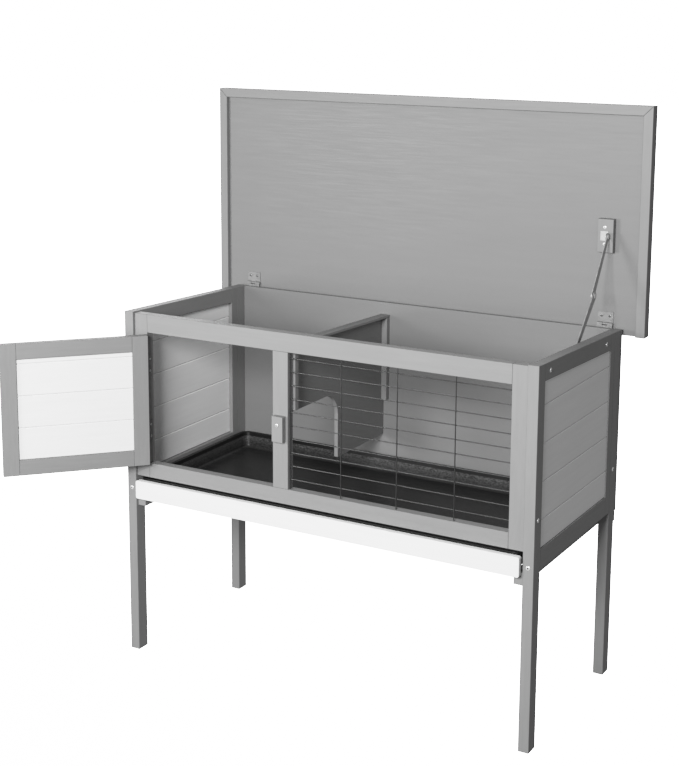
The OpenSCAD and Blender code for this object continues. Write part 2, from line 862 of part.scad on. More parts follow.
// Small screws of the hinges and of the stay's bracket, in the body
module hinge_screws() {
    color(zinc) {
        door_leaf_screws(left_stile_end, 1);
        for (x = roof_hinge_xs, dx = leaf_screw_xs)
            translate([x + dx, back_rear + roof_leaf_t, roof_hinge_z - leaf_screw_u])
                rotate([-90, 0, 0]) small_screw(back_t - 1);
        for (dy = [-bracket_screw_gap, bracket_screw_gap])
            translate([rail_face - bracket_t, stay_y + dy, stay_z]) rotate([0, -90, 0])
                small_screw(leg_x - 6);
    }
}

// Small screws of the hinges, in the roof panel, and of the stay, either side of its roof bracket
module roof_screws() {
    color(zinc) raised() {
        for (x = roof_hinge_xs, dx = leaf_screw_xs)
            translate([x + dx, leaf_screw_u, roof_leaf_t - panel_n]) small_screw(9);
        for (du = [-block_screw_gap, block_screw_gap])
            translate([ear_x + bracket_t - plate_w / 2, stay_up + du, block_t - panel_n])
                small_screw(block_t + 4);
    }
}

// ---------- nodes ----------

placed() leg(false, false);  // left_front_leg
placed() leg(true, false);  // right_front_leg
placed() leg(false, true);  // left_rear_leg
placed() leg(true, true);  // right_rear_leg
placed() top_rail(false);  // left_top_rail
placed() top_rail(true);  // right_top_rail
placed() bottom_rail(false);  // left_bottom_rail
placed() bottom_rail(true);  // right_bottom_rail
placed() rear_stile(false);  // left_rear_stile
placed() rear_stile(true);  // right_rear_stile
placed() side_boards(false);  // left_side_boards
placed() side_boards(true);  // right_side_boards
placed() side_runner(false);  // left_runner
placed() side_runner(true);  // right_runner
placed() rear_batten();
placed() back_panel();
placed() front_left_stile();
placed() front_middle_stile();
placed() front_right_stile();
placed() front_top_rail();
placed() front_bottom_rail();
placed() wire_mesh();
placed() divider_panel();
placed() divider_top_batten();
placed() divider_front_cleat();
placed() divider_rear_cleat();
placed() frame_screws();
placed() hinge_screws();
placed() turn_button_screw();
placed() door_hinge_frame_leaves();
placed() door_hinge_pins();
placed() roof_hinge_body_leaves();
placed() roof_hinge_pins();
placed() stay_body_bracket();
placed() stay_lower_rivet();
placed() tray_pan();
placed() tray_front_board();
placed() tray_screws();
placed() door_hinge_stile();
placed() door_free_stile();
placed() door_top_rail();
placed() door_bottom_rail();
placed() door_boards();
placed() door_hinge_door_leaves();
placed() door_screws();
placed() turn_button();
placed() roof_panel();
placed() roof_front_fascia();
placed() roof_side_fascia(roof_x0, roof_x0 + fascia_w);  // roof_left_fascia
placed() roof_side_fascia(roof_x1, roof_x1 - fascia_w);  // roof_right_fascia
placed() roof_felt();
placed() roof_hinge_roof_leaves();
placed() stay_roof_block();
placed() stay_roof_bracket();
placed() stay_upper_rivet();
placed() roof_screws();
placed() stay_upper_arm();
placed() stay_elbow_rivet_upper();
placed() stay_lower_arm();
placed() stay_elbow_rivet_lower();
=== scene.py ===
# Looks for the rabbit hutch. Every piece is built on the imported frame: timber, panels and metal are
# the frame's own shapes with rounded arrises, and the felt, tray, wires, screws and rivets are modelled
# here. Metres throughout, in the frame's own axes: the hutch's front faces -Y.
import json
import math
import random

import bmesh
import bpy
from mathutils import Matrix, Vector

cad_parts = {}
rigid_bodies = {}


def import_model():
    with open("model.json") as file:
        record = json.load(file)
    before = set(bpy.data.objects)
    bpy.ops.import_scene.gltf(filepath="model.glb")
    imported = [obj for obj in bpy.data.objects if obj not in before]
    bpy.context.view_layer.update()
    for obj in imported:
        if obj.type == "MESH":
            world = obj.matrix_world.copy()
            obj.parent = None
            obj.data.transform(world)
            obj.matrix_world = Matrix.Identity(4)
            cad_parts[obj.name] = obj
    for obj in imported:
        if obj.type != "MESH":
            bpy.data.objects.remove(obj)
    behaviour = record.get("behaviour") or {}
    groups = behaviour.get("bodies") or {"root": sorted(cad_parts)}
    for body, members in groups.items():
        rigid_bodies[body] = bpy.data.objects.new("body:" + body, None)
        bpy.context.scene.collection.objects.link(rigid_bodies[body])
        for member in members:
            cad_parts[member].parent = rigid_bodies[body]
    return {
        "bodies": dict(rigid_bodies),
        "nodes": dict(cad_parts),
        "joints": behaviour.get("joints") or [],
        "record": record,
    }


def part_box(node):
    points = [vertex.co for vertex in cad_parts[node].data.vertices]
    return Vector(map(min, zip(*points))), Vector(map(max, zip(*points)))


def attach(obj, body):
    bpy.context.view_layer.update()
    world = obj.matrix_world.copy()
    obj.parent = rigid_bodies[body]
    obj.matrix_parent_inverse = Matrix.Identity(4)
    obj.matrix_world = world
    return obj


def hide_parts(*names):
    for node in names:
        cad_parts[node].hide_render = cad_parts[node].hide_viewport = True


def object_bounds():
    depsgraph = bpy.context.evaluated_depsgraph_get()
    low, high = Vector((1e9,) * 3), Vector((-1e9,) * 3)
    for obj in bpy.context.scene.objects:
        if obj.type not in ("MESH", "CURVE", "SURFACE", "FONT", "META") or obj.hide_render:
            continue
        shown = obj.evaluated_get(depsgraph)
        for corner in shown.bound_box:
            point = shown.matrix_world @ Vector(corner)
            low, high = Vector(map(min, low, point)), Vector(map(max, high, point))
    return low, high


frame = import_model()
cad_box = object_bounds()

MM = 0.001
random.seed(7)

slot_of = {part["node"]: part["material_slot"] for part in frame["record"]["subparts"]}
body_named = {empty.name: name for name, empty in frame["bodies"].items()}
body_of = {name: body_named[node.parent.name] for name, node in frame["nodes"].items()}
joint = {entry["name"]: entry for entry in frame["joints"]}

# The front left foot's outer corner: the camera is placed from it
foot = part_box("left_front_leg")[0]
X = Vector((1, 0, 0))
Y = Vector((0, 1, 0))
Z = Vector((0, 0, 1))


# ---------- materials ----------

class Finish:
    """A material built round one Principled shader."""

    def __init__(self, name, **surface):
        self.material = bpy.data.materials.new(name)
        self.material.use_nodes = True
        self.tree = self.material.node_tree
        self.tree.nodes.clear()
        self.surface = self.tree.nodes.new("ShaderNodeBsdfPrincipled")
        output = self.tree.nodes.new("ShaderNodeOutputMaterial")
        self.tree.links.new(self.surface.outputs["BSDF"], output.inputs["Surface"])
        for socket, value in surface.items():
            self.set(socket.replace("_", " "), value)

    def set(self, socket, value):
        """Sets or feeds a socket of the surface."""
        self.feed(self.surface.inputs[socket], value)

    def feed(self, socket, value):
        """Links another node's output, or stores a plain value."""
        if isinstance(value, bpy.types.NodeSocket):
            self.tree.links.new(value, socket)
        else:
            socket.default_value = value

    def node(self, kind, inputs, **settings):
        """A new node with its settings made and its inputs fed."""
        made = self.tree.nodes.new("ShaderNode" + kind)
        for name, value in settings.items():
            setattr(made, name, value)
        for name, value in inputs.items():
            self.feed(made.inputs[name], value)
        return made

    def own(self, name):
        """An attribute that the mesh carries."""
        return self.node("Attribute", {}, attribute_name=name)

    def place(self, scale):
        """The piece's own coordinates, scaled along, across and through its grain, or all alike."""
        scale = scale if isinstance(scale, tuple) else (scale, scale, scale)
        vector = self.own("grain").outputs["Vector"]
        return self.node("VectorMath", {0: vector, 1: scale}, operation="MULTIPLY").outputs[0]

    def noise(self, scale, detail):
        inputs = {"Vector": self.place(scale), "Scale": 1.0, "Detail": detail}
        return self.node("TexNoise", inputs).outputs["Fac"]

    def cells(self, scale, output="Distance"):
        return self.node("TexVoronoi", {"Vector": self.place(scale), "Scale": 1.0}).outputs[output]

    def maths(self, operation, a, b):
        return self.node("Math", {0: a, 1: b}, operation=operation).outputs[0]

    def blend(self, parts):
        """A weighted sum of (value, weight) pairs."""
        total = 0.0
        for value, weight in parts:
            total = self.maths("ADD", total, self.maths("MULTIPLY", value, weight))
        return total

    def spread(self, value, low, high, to_low=0.0, to_high=1.0):
        """Stretches a range of values over another, and holds what lies past its ends."""
        inputs = {"Value": value, "From Min": low, "From Max": high, "To Min": to_low, "To Max": to_high}
        return self.node("MapRange", inputs).outputs[0]

    def tint(self, factor, a, b):
        """A colour between a and b."""
        inputs = {0: factor, 6: colour(a), 7: colour(b)}
        return self.node("Mix", inputs, data_type="RGBA").outputs[2]

    def relief(self, height, depth):
        """A bump that stands depth proud where height is 1."""
        inputs = {"Height": height, "Distance": depth, "Strength": 1.0}
        self.set("Normal", self.node("Bump", inputs).outputs["Normal"])


def colour(value):
    """A node socket as it is, or a grey level or RGB triple as a colour."""
    if isinstance(value, bpy.types.NodeSocket):
        return value
    rgb = value if isinstance(value, tuple) else (value, value, value)
    return (*rgb, 1.0)


def painted_wood(name, dark, light, worn, grain_length, depth, roughness):
    """Brushed paint over wood: broad growth bands, fine fibres, slow patches, painted shade on the
    arrises.
    """
    finish = Finish(name)
    along = 1 / grain_length
    across_bands = 14 * along
    across_fibres = 110 * along
    bands = finish.noise((along, across_bands, across_bands), 3.0)
    fibres = finish.noise((4 * along, across_fibres, across_fibres), 2.0)
    patches = finish.noise((5.0, 9.0, 9.0), 1.0)
    tone = finish.blend([(bands, 0.5), (fibres, 0.3), (patches, 0.2)])
    paint = finish.tint(finish.spread(tone, 0.3, 0.7), dark, light)
    # The worn colour laid on the bevelled arrises is painted shade: the thin dark line a rounded edge
    # shows between two lit faces, broken up by noise
    arris_shade_breakup = finish.spread(finish.noise(38.0, 3.0), 0.4, 0.62, 0.25, 1.0)
    painted_arris_shade = finish.maths("MULTIPLY", arris_shade_breakup, finish.own("arris").outputs["Fac"])
    finish.set("Base Color", finish.tint(painted_arris_shade, paint, worn))
    finish.set("Roughness", finish.spread(fibres, 0.3, 0.7, roughness - 0.07, roughness + 0.09))
    finish.relief(finish.blend([(fibres, 0.6), (bands, 0.4)]), depth)
    return finish.material


def mineral_felt(name):
    """Bitumen felt: pale and dark mineral granules pressed into a black sheet."""
    finish = Finish(name)
    granules = 620.0
    granule = finish.cells(granules)
    shade = finish.node("SeparateColor", {0: finish.cells(granules, "Color")}).outputs[0]
    worn = finish.noise(14.0, 3.0)
    pale = finish.spread(finish.maths("ADD", shade, finish.maths("MULTIPLY", worn, 0.3)), 0.72, 1.12)
    grit = finish.tint(pale, (0.03, 0.03, 0.034), (0.34, 0.34, 0.35))
    bitumen = finish.spread(granule, 0.35, 0.7)
    finish.set("Base Color", finish.tint(bitumen, grit, (0.012, 0.012, 0.014)))
    finish.set("Roughness", finish.spread(granule, 0.2, 0.7, 0.95, 0.7))
    finish.relief(finish.maths("SUBTRACT", 1.0, granule), 0.6 * MM)
    return finish.material


def moulded_plastic(name):
    """Black thermoformed sheet: a smooth streaked floor, and coarsely pebbled walls with painted glints.
    """
    finish = Finish(name)
    wall = finish.own("arris").outputs["Fac"]
    pebble = finish.noise((260.0, 560.0, 560.0), 2.0)
    stipple = finish.noise(1300.0, 1.0)
    streaks = finish.noise((12.0, 160.0, 12.0), 3.0)
    cloud = finish.noise(7.0, 2.0)
    floor_streaks = finish.spread(streaks, 0.35, 0.7, 0.12, 0.26)
    floor_tint = finish.maths("MULTIPLY", finish.own("floor").outputs["Fac"], floor_streaks)
    # The pebbles' lighter colour on the walls is painted glints, the light's reflections on the glossy
    # pebbles, stronger higher up the wall
    painted_wall_glints = finish.maths("MULTIPLY", wall, finish.spread(pebble, 0.36, 0.66, 0.1, 1.0))
    finish.set("Base Color", finish.tint(finish.maths("ADD", floor_tint, painted_wall_glints), 0.007, 0.085))
    gloss = finish.blend([(stipple, 0.4), (cloud, 0.35), (streaks, 0.25)])
    finish.set("Roughness", finish.spread(gloss, 0.35, 0.65, 0.32, 0.46))
    finish.set("Specular IOR Level", 0.2)
    rough_wall = finish.maths("MULTIPLY", wall, pebble)
    finish.relief(finish.blend([(rough_wall, 7.0), (stipple, 0.5), (streaks, 0.15)]), 0.1 * MM)
    return finish.material


def coated_wire(name):
    """Glossy black coating over drawn wire, thicker and thinner along its length."""
    finish = Finish(name, IOR=2.0)
    runs = finish.noise((60.0, 500.0, 500.0), 2.0)
    finish.set("Base Color", finish.tint(finish.spread(runs, 0.3, 0.7), 0.006, 0.012))
    finish.set("Roughness", finish.spread(runs, 0.3, 0.7, 0.32, 0.38))
    finish.relief(runs, 0.006 * MM)
    return finish.material


def plated_metal(name, dark, light, roughness, metallic):
    """Zinc-plated steel: a fine rolled grain and faint spangle, with painted shade in the screws'
    recesses.
    """
    # Near-black painted shade for the inside of the screws' cross recesses
    recess = 0.03
    finish = Finish(name, Metallic=metallic)
    rolled = finish.noise((90.0, 1500.0, 1500.0), 2.0)
    spangle = finish.node("SeparateColor", {0: finish.cells(240.0, "Color")}).outputs[0]
    tone = finish.blend([(rolled, 0.6), (spangle, 0.4)])
    plating = finish.tint(finish.spread(tone, 0.25, 0.75), dark, light)
    finish.set("Base Color", finish.tint(finish.own("recess").outputs["Fac"], plating, recess))
    finish.set("Roughness", finish.spread(tone, 0.2, 0.8, roughness - 0.08, roughness + 0.1))
    finish.relief(rolled, 0.02 * MM)
    return finish.material


finishes = {
    # The fourth value of each painted finish is the darker colour of the painted shade on its arrises
    "grey_timber": painted_wood("grey_timber", 0.202, 0.226, 0.17, 0.11, 0.1 * MM, 0.52),
    "grey_panel": painted_wood("grey_panel", 0.184, 0.194, 0.15, 0.24, 0.02 * MM, 0.5),
    "white_boards": painted_wood("white_boards", 0.79, 0.85, 0.74, 0.13, 0.1 * MM, 0.5),
    "roofing_felt": mineral_felt("roofing_felt"),
    "tray_plastic": moulded_plastic("tray_plastic"),
    "mesh_wire": coated_wire("mesh_wire"),
    "hinge_steel": plated_metal("hinge_steel", 0.34, 0.46, 0.5, 0.6),
    "zinc_fastener": plated_metal("zinc_fastener", 0.72, 0.85, 0.3, 0.5),
    "dull_steel": plated_metal("dull_steel", 0.2, 0.27, 0.5, 0.4),
}

# The roof's and the door's hinges have weathered duller than the stay
weathered = ["roof_hinge_body_leaves", "roof_hinge_roof_leaves", "roof_hinge_pins",
             "door_hinge_frame_leaves", "door_hinge_door_leaves", "door_hinge_pins"]


# ---------- mesh tools ----------

def from_node(name):
    """A copy of a CAD node's mesh, welded, with each flat face whole."""
    weld_gap = 0.0005 * MM
    flat = math.radians(0.4)
    mesh = bmesh.new()
    mesh.from_mesh(frame["nodes"][name].data)
    bmesh.ops.remove_doubles(mesh, verts=mesh.verts, dist=weld_gap)
    bmesh.ops.dissolve_limit(mesh, angle_limit=flat, verts=mesh.verts, edges=mesh.edges)
    return mesh


def islands(mesh):
    """The vertices of each separate solid in a mesh."""
    groups = []
    seen = set()
    for start in mesh.verts:
        if start in seen:
            continue
        group = []
        queue = [start]
        seen.add(start)
        while queue:
            vertex = queue.pop()
            group.append(vertex)
            for edge in vertex.link_edges:
                other = edge.other_vert(vertex)
                if other not in seen:
                    seen.add(other)
                    queue.append(other)
        groups.append(group)
    return groups


def span(points):
    """Lowest and highest corners of some points."""
    low = Vector([min(p[i] for p in points) for i in range(3)])
    high = Vector([max(p[i] for p in points) for i in range(3)])
    return low, high


def soften(mesh, width):
    """Rounds every sharp edge, and marks the new faces so that the paint there takes a painted shade
    line.
    """
    turn = math.radians(30)
    arris = mesh.faces.layers.float.new("arris")
    sharp = [e for e in mesh.edges if e.is_manifold and e.calc_face_angle() > turn]
    made = bmesh.ops.bevel(
        mesh, geom=sharp, offset=width, offset_type="OFFSET", segments=3, profile=0.5,
        affect="EDGES", clamp_overlap=True)
    for face in made["faces"]:
        face[arris] = 1.0


def add_grain(mesh, turn):
    """Gives each solid its own coordinates, long side first, cut from its own place in the wood."""
    grain = mesh.verts.layers.float_vector.new("grain")
    for group in islands(mesh):
        points = [turn @ vertex.co for vertex in group]
        low, high = span(points)
        order = sorted(range(3), key=lambda i: low[i] - high[i])
        shift = Vector([random.uniform(1, 40) for _ in range(3)])
        for vertex, point in zip(group, points):
            vertex[grain] = Vector([point[i] for i in order]) + shift


# The door stands open, so its own square directions are found by swinging it shut
swing_shut = Matrix.Rotation(math.radians(joint["door_hinge"]["range_deg"][1]), 3, "Z")
own_turn = {"door": swing_shut}


def add_piece(name, mesh, nodes, sharp=60):
    """Makes a mesh into a piece that stands for CAD nodes, on their body and with their finish."""
    first = nodes[0]
    add_grain(mesh, own_turn.get(body_of[first], Matrix.Identity(3)))
    bmesh.ops.recalc_face_normals(mesh, faces=mesh.faces)
    data = bpy.data.meshes.new(name)
    mesh.to_mesh(data)
    mesh.free()
    data.polygons.foreach_set("use_smooth", [True] * len(data.polygons))
    data.set_sharp_from_angle(angle=math.radians(sharp))
    data.materials.append(finishes["dull_steel" if first in weathered else slot_of[first]])
    piece = bpy.data.objects.new(name, data)
    bpy.context.scene.collection.objects.link(piece)
    even = piece.modifiers.new("Even shading", "WEIGHTED_NORMAL")
    even.keep_sharp = True
    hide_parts(*nodes)
    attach(piece, body_of[first])


def turned(mesh, profile, place, segments):
    """Adds a solid of revolution: (radius, height) points from one end to the other, about place's Z."""
    rings = []
    for radius, height in profile:
        if radius == 0:
            rings.append([mesh.verts.new(place @ Vector((0, 0, height)))])
            continue
        rings.append([
            mesh.verts.new(place @ Vector((
                radius * math.cos(math.tau * i / segments),
                radius * math.sin(math.tau * i / segments),
                height)))
            for i in range(segments)])
    for low, high in zip(rings, rings[1:]):
        for i in range(segments):
            j = (i + 1) % segments
            corners = [low[i % len(low)], low[j % len(low)], high[j % len(high)], high[i % len(high)]]
            mesh.faces.new(list(dict.fromkeys(corners)))
    for end in (rings[0], rings[-1]):
        if len(end) > 2:
            mesh.faces.new(end)


def facing(centre, direction, spin=0.0):
    """A placement at centre whose Z points along direction."""
    turn = direction.to_track_quat("Z", "Y").to_matrix().to_4x4()
    return Matrix.Translation(centre) @ turn @ Matrix.Rotation(spin, 4, "Z")


# ---------- timber, panels and pressed metal ----------

arris_width = {
    "grey_timber": 0.8 * MM,
    "grey_panel": 0.5 * MM,
    "white_boards": 0.4 * MM,
    "hinge_steel": 0.15 * MM,
    "zinc_fastener": 0.2 * MM,
}
# Pieces whose arrises are wider than their material's
rounder = {
    "turn_button": 1.4 * MM,
    "tray_front_board": 1.1 * MM,
    "stay_upper_arm": 0.4 * MM,
    "stay_lower_arm": 0.4 * MM,
}
screw_nodes = ["frame_screws", "hinge_screws", "turn_button_screw", "tray_screws", "door_screws",
               "roof_screws"]
modelled_below = screw_nodes + ["roof_felt", "tray_pan", "wire_mesh", "stay_elbow_rivet_upper",
                                "stay_elbow_rivet_lower"]

for name in frame["nodes"]:
    if name in modelled_below:
        continue
    solid = from_node(name)
    soften(solid, rounder.get(name, arris_width[slot_of[name]]))
    add_piece(name + "_finished", solid, [name])


# ---------- roofing felt ----------

def roofing_felt():
    """A sheet on the roof's outer face, slightly uneven, with its edges turned down."""
    low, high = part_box("roof_felt")
    cell = 5 * MM
    edge = 1.6 * MM
    mean_dip = 0.25 * MM
    wave = 0.09 * MM
    across = math.ceil((high.x - low.x) / cell)
    along = math.ceil((high.z - low.z) / cell)
    mesh = bmesh.new()
    outer = [[None] * (along + 1) for _ in range(across + 1)]
    for i in range(across + 1):
        for k in range(along + 1):
            x = low.x + (high.x - low.x) * i / across
            z = low.z + (high.z - low.z) * k / along
            near = min(x - low.x, high.x - x, z - low.z, high.z - z)
            drop = edge if near < 1e-6 else 0.0
            # Two crossing sets of long ripples, each bent a little by the other direction
            lift = math.sin(x * 31 + 1.3 * math.sin(z * 17)) + math.sin(z * 43 + 2.1 * math.sin(x * 9))
            uneven = 0.0 if drop else mean_dip + wave * lift
            outer[i][k] = mesh.verts.new((x, high.y - drop - uneven, z))
    for i in range(across):
        for k in range(along):
            mesh.faces.new((outer[i][k], outer[i + 1][k], outer[i + 1][k + 1], outer[i][k + 1]))
    rim = [outer[i][0] for i in range(across)]
    rim += [outer[across][k] for k in range(along)]
    rim += [outer[i][along] for i in range(across, 0, -1)]
    rim += [outer[0][k] for k in range(along, 0, -1)]
    inner = [mesh.verts.new((v.co.x, low.y, v.co.z)) for v in rim]
    for i in range(len(rim)):
        j = (i + 1) % len(rim)
        mesh.faces.new((rim[i], rim[j], inner[j], inner[i]))
    mesh.faces.new(inner)
    add_piece("roof_felt_sheet", mesh, ["roof_felt"])


roofing_felt()


# ---------- tray ----------

def rounded_ring(mesh, low, high, inset, radius, z):
    """Vertices round a rectangle with round corners, set in from a box."""
    steps = 8
    ring = []
    for corner in range(4):
        x = high.x - inset - radius if corner in (0, 3) else low.x + inset + radius
        y = high.y - inset - radius if corner in (0, 1) else low.y + inset + radius
        for step in range(steps + 1):
            angle = math.radians(90 * (corner + step / steps))
            ring.append(mesh.verts.new((x + radius * math.cos(angle), y + radius * math.sin(angle), z)))
    return ring


def tray():
    """A thermoformed pan: rolled rim, drafted walls, filleted floor with a raised middle."""
    low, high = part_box("tray_pan")
    # The section is worked out in millimetres, as (distance in from the box, height) points
    depth = (high.z - low.z) / MM
    wall = 2.2
    rim = 7.0
    draft = 2.5
    fillet = 7.0
    corner = 18.0
    tightest = 4
    lip = 1.3
    lip_drop = 5.0
    roll = 1.6
    roll_start = rim - 0.6
    raised = 0.5
    raise_start = 12
    raise_width = 10
    steps = 6
    wall_steps = 4
    arc = [math.radians(90 * i / steps) for i in range(steps + 1)]
    outside = rim + draft
    inside = outside + wall
    floor_edge = inside + fillet
    profile = [(outside + fillet * (1 - math.sin(a)), fillet * (1 - math.cos(a))) for a in arc]
    profile += [(rim, depth - wall), (lip, depth - wall), (lip, depth - lip_drop)]
    profile += [(lip - 0.6, depth - lip_drop - 0.5), (0.0, depth - lip_drop), (0.0, depth - lip)]
    profile += [(lip * (1 - math.sin(a)), depth - lip * (1 - math.cos(a))) for a in reversed(arc[1:-1])]
    profile += [(lip, depth), (roll_start, depth)]
    profile += [(roll_start + roll * math.sin(a), depth - roll * (1 - math.cos(a))) for a in arc[1:-1]]
    inner_wall = len(profile) - 1
    top = Vector((roll_start + roll, depth - roll))
    base = Vector((inside, wall + fillet))
    profile += [tuple(top.lerp(base, i / wall_steps)) for i in range(wall_steps)]
    profile += [(inside + fillet * (1 - math.cos(a)), wall + fillet * (1 - math.sin(a))) for a in arc]
    profile += [(floor_edge + raise_start + raise_width * along, wall + raised * up)
                for along, up in ((0.0, 0.0), (0.5, 0.6), (1.0, 1.0))]
    mesh = bmesh.new()
    pebbled = mesh.faces.layers.float.new("arris")
    streaked = mesh.faces.layers.float.new("floor")
    rings = []
    for inset, height in profile:
        radius = max(corner - inset / 2, tightest) * MM
        rings.append(rounded_ring(mesh, low, high, inset * MM, radius, low.z + height * MM))
    heights = [height for _, height in profile]
    for k, (below, above) in enumerate(zip(rings, rings[1:])):
        up_wall = (heights[k] + heights[k + 1] - 2 * wall) / (2 * (depth - wall))
        coarse = k >= inner_wall and 0.0 < up_wall < 0.85
        for i in range(len(below)):
            j = (i + 1) % len(below)
            side = mesh.faces.new((below[i], below[j], above[j], above[i]))
            # The wall mark grows up the wall; it weights both the pebble bump and the pebbles' painted
            # glints
            side[pebbled] = min(1.4 * up_wall, 1.0) if coarse else 0.0
            side[streaked] = 1.0 if k > inner_wall and up_wall < 0.1 else 0.0
    mesh.faces.new(rings[0])
    mesh.faces.new(rings[-1])[streaked] = 1.0
    add_piece("tray_shell", mesh, ["tray_pan"], 50)


tray()


# ---------- wire mesh ----------

def wire_mesh():
    """Drawn wires with cut ends, welded where they cross."""
    stretches = 8
    solids = from_node("wire_mesh")
    boxes = [span([v.co for v in group]) for group in islands(solids)]
    solids.free()
    mesh = bmesh.new()
    level = []
    upright = []
    for low, high in boxes:
        centre = (low + high) / 2
        runs_level = high.x - low.x > high.z - low.z
        (level if runs_level else upright).append(centre)
        axis = X if runs_level else Z
        length = max(high.x - low.x, high.z - low.z)
        radius = (high.y - low.y) / 2
        ends = 0.3 * radius
        profile = [(radius - ends, -length / 2), (radius, ends - length / 2)]
        profile += [(radius, length * (i / stretches - 0.5)) for i in range(1, stretches)]
        profile += [(radius, length / 2 - ends), (radius - ends, length / 2)]
        turned(mesh, profile, facing(centre, axis), 14)
    weld = 1.25 * radius
    weld_height = 0.7 * weld
    bead = [(0.0, -1.0), (0.55, -0.84), (0.9, -0.42), (1.0, 0.0), (0.9, 0.42), (0.55, 0.84), (0.0, 1.0)]
    for a in level:
        for b in upright:
            meeting = Vector((b.x, (a.y + b.y) / 2, a.z))
            profile = [(weld * r, weld_height * h) for r, h in bead]
            turned(mesh, profile, facing(meeting, Y), 10)
    add_piece("welded_wires", mesh, ["wire_mesh"], 50)


wire_mesh()


# ---------- screws and rivets ----------

def cross_headed(profile, recess):
    """A turned screw head of radius 1, with a cross recess cut down to a height."""
    arm_length = 1.25
    arm_width = 0.32
    narrowing = 0.55
    above = 1.0
    head = bmesh.new()
    turned(head, profile, Matrix.Identity(4), 36)
    bmesh.ops.recalc_face_normals(head, faces=head.faces)
    cutter = bmesh.new()
    for spin in (0, 90):
        arm = bmesh.ops.create_cube(cutter, size=1.0)["verts"]
        for vertex in arm:
            taper = 1.0 if vertex.co.z > 0 else narrowing
            vertex.co.x *= arm_length * taper
            vertex.co.y *= arm_width * taper
            vertex.co.z = recess if vertex.co.z < 0 else above
        bmesh.ops.rotate(cutter, verts=arm, matrix=Matrix.Rotation(math.radians(spin), 3, "Z"))
    solids = []
    for mesh in (head, cutter):
        data = bpy.data.meshes.new("cutting")
        mesh.to_mesh(data)
        mesh.free()
        solid = bpy.data.objects.new("cutting", data)
        bpy.context.scene.collection.objects.link(solid)
        solids.append(solid)
    cut = solids[0].modifiers.new("Recess", "BOOLEAN")
    cut.operation = "DIFFERENCE"
    cut.solver = "EXACT"
    cut.use_self = True
    cut.object = solids[1]
    seen = solids[0].evaluated_get(bpy.context.evaluated_depsgraph_get())
    made = bpy.data.meshes.new_from_object(seen)
    for solid in solids:
        bpy.data.objects.remove(solid)
    # The faces inside the cross recess are marked for painted shade
    recessed = made.attributes.new("recess", "FLOAT", "FACE")
    near = 0.05
    for face in made.polygons:
        reach = math.hypot(face.center.x, face.center.y)
        inside = reach < 0.64 and (face.normal.z < 0.5 or face.center.z < recess + near)
        recessed.data[face.index].value = 1.0 if inside and face.center.z > recess - near else 0.0
    return made


pan_profile = [(0.0, -0.02), (0.97, -0.02), (1.0, 0.06), (0.99, 0.17), (0.93, 0.29), (0.8, 0.4),
               (0.6, 0.48), (0.36, 0.53), (0.0, 0.55)]
flush_profile = [(0.0, -0.6), (0.5, -0.5), (0.97, -0.03), (1.0, 0.0), (0.97, 0.03), (0.6, 0.045),
                 (0.0, 0.05)]
pan_head = cross_headed(pan_profile, 0.12)
flush_head = cross_headed(flush_profile, -0.3)


def screw_place(points):
    """A CAD screw's head underside, outward direction, radius and height, and how far its shank goes."""
    rounds = 20
    centre = sum(points, Vector()) / len(points)
    far = max(points, key=lambda p: (p - centre).length)
    axis = (far - centre).normalized()
    for _ in range(rounds):
        pulls = [(p - centre) * axis.dot(p - centre) for p in points]
        axis = sum(pulls, Vector()).normalized()
    heights = [axis.dot(p - centre) for p in points]
    widths = [((p - centre) - axis * h).length for p, h in zip(points, heights)]
    radius = max(widths)
    rim = [h for h, w in zip(heights, widths) if w > 0.95 * radius]
    if sum(rim) < 0:
        axis = -axis
        heights = [-h for h in heights]
        rim = [-h for h in rim]
    under = min(rim)
    return centre + axis * under, axis, radius, max(heights) - under, under - min(heights)


def on_roof_hinge(point):
    """Whether a screw stands on one of the roof hinges' weathered leaves."""
    margin = 3 * MM
    for node in ("roof_hinge_body_leaves", "roof_hinge_roof_leaves"):
        low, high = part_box(node)
        if all(low[i] - margin < point[i] < high[i] + margin for i in range(3)):
            return True
    return False


def screws(node):
    """Pan-head or flush cross-headed screws where a CAD node has plain ones."""
    weathering = 0.75
    solids = from_node(node)
    groups = [[v.co.copy() for v in group] for group in islands(solids)]
    solids.free()
    mesh = bmesh.new()
    for points in groups:
        under, axis, radius, height, shank = screw_place(points)
        place = facing(under, axis, random.uniform(0, math.tau))
        flush = height < 0.2 * radius
        head = bmesh.new()
        head.from_mesh(flush_head if flush else pan_head)
        tallest = max(v.co.z for v in head.verts)
        scale = Matrix.Diagonal((radius, radius, radius if flush else height / tallest, 1.0))
        head.transform(place @ scale)
        if on_roof_hinge(under):
            # The recess mark carries both the recess's painted shade and this darker weathered colour
            # over the whole head
            dark = head.faces.layers.float["recess"]
            for face in head.faces:
                face[dark] = max(face[dark], weathering)
        moved = bpy.data.meshes.new("head")
        head.to_mesh(moved)
        head.free()
        mesh.from_mesh(moved)
        bpy.data.meshes.remove(moved)
        thick = 0.45 * radius
        neck = -0.5 * radius
        turned(mesh, [(0.0, -shank), (thick, 2 * thick - shank), (thick, neck), (0.0, neck)], place, 12)
    add_piece(node + "_cross_headed", mesh, [node], 35)


for name in screw_nodes:
    screws(name)


def elbow_rivet(node, outward):
    """A washer under a domed rivet head."""
    low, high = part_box(node)
    radius = (high.y - low.y) / 2
    thick = high.x - low.x
    centre = (low + high) / 2 - outward * thick / 2 * X
    profile = [(0.0, 0.0), (1.0, 0.0), (1.0, 0.3), (0.96, 0.38), (0.72, 0.4), (0.7, 0.6), (0.6, 0.82),
               (0.4, 0.95), (0.0, 1.0)]
    mesh = bmesh.new()
    turned(mesh, [(r * radius, h * thick) for r, h in profile], facing(centre, outward * X), 40)
    add_piece(node + "_domed", mesh, [node], 35)


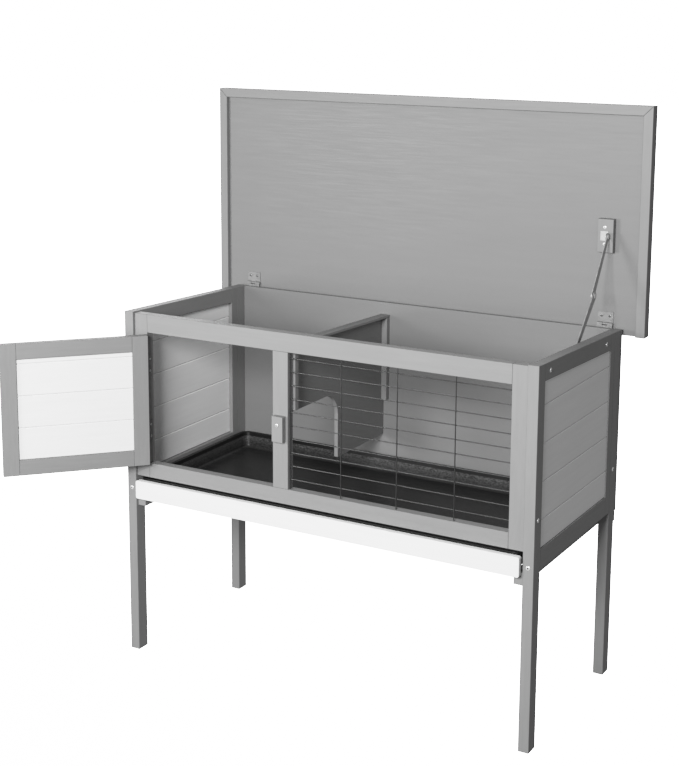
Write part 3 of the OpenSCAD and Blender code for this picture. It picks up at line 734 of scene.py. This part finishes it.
elbow_rivet("stay_elbow_rivet_upper", -1)
elbow_rivet("stay_elbow_rivet_lower", 1)


# ---------- floor, light and camera ----------

def aim(thing, place, target):
    """Puts a lamp or a camera in the scene, looking at its target."""
    thing.location = place
    thing.rotation_mode = "QUATERNION"
    thing.rotation_quaternion = (target - place).to_track_quat("-Z", "Y")
    bpy.context.scene.collection.objects.link(thing)


def around(azimuth, elevation, distance):
    """A step away from the hutch: azimuth 0 is in front of it and 90 at its right."""
    a = math.radians(azimuth)
    e = math.radians(elevation)
    return distance * Vector((math.sin(a) * math.cos(e), -math.cos(a) * math.cos(e), math.sin(e)))


def floor():
    """A pale studio floor that takes only a faint shadow."""
    mesh = bmesh.new()
    bmesh.ops.create_circle(mesh, cap_ends=True, segments=96, radius=14.0)
    data = bpy.data.meshes.new("floor")
    mesh.to_mesh(data)
    mesh.free()
    finish = Finish("pale_floor", Base_Color=colour(0.8), Roughness=0.9, Emission_Color=colour(1.0),
                    Emission_Strength=5.0)
    finish.material.cycles.emission_sampling = "NONE"
    data.materials.append(finish.material)
    disc = bpy.data.objects.new("floor", data)
    disc.visible_diffuse = False
    disc.visible_glossy = False
    bpy.context.scene.collection.objects.link(disc)


def backdrop():
    """An even dim studio for the light, and a white one for the camera."""
    world = bpy.data.worlds.new("studio")
    world.use_nodes = True
    tree = world.node_tree
    tree.nodes.clear()
    lit = tree.nodes.new("ShaderNodeBackground")
    lit.inputs["Strength"].default_value = 0.24
    seen = tree.nodes.new("ShaderNodeBackground")
    seen.inputs["Strength"].default_value = 6.0
    for shade in (lit, seen):
        shade.inputs["Color"].default_value = colour(1.0)
    path = tree.nodes.new("ShaderNodeLightPath")
    mix = tree.nodes.new("ShaderNodeMixShader")
    output = tree.nodes.new("ShaderNodeOutputWorld")
    tree.links.new(path.outputs["Is Camera Ray"], mix.inputs[0])
    tree.links.new(lit.outputs[0], mix.inputs[1])
    tree.links.new(seen.outputs[0], mix.inputs[2])
    tree.links.new(mix.outputs[0], output.inputs["Surface"])
    bpy.context.scene.world = world


def softbox(name, size, power, place, target):
    """A round area lamp of a given width, turned to its target."""
    lamp = bpy.data.lights.new(name, "AREA")
    lamp.shape = "DISK"
    lamp.size = size
    lamp.energy = power
    aim(bpy.data.objects.new(name, lamp), place, target)


def lights():
    """A broad softbox in front, a weaker one on the left, and a fill behind."""
    middle = (cad_box[0] + cad_box[1]) / 2
    width = 0.8
    softbox("front_softbox", width, 92, middle + around(11.5, 20, 2.6), middle)
    softbox("left_softbox", width, 23, middle + around(-32, 8, 2.2), middle)
    fill = bpy.data.lights.new("rear_fill", "SUN")
    fill.energy = 2.2
    fill.angle = math.radians(60)
    aim(bpy.data.objects.new("rear_fill", fill), middle + around(205, 35, 4), middle)


def camera():
    """Stands to the right of the front, a little above the roof's hinges."""
    seen = bpy.data.cameras.new("camera")
    seen.lens = 73.42
    seen.shift_x = 0.0516
    seen.shift_y = -0.15
    target = foot + Vector((0.2675, 0.2, 0.7536))
    thing = bpy.data.objects.new("camera", seen)
    aim(thing, target + around(30.99, 10.49, 2.9744), target)
    bpy.context.scene.camera = thing


def tone():
    """Keeps dark and middle tones as they are, and rolls bright ones off to white."""
    view = bpy.context.scene.view_settings
    view.view_transform = "Standard"
    view.use_curve_mapping = True
    mapping = view.curve_mapping
    mapping.clip_max_x = 6.0
    mapping.clip_max_y = 1.0
    curve = mapping.curves[3]
    curve.points[1].location = (6.0, 1.0)
    for bright, shown in ((0.25, 0.25), (0.5, 0.5), (0.8, 0.7), (1.3, 0.85), (2.0, 0.94), (3.2, 0.99)):
        curve.points.new(bright, shown)
    mapping.update()


floor()
backdrop()
lights()
camera()
tone()
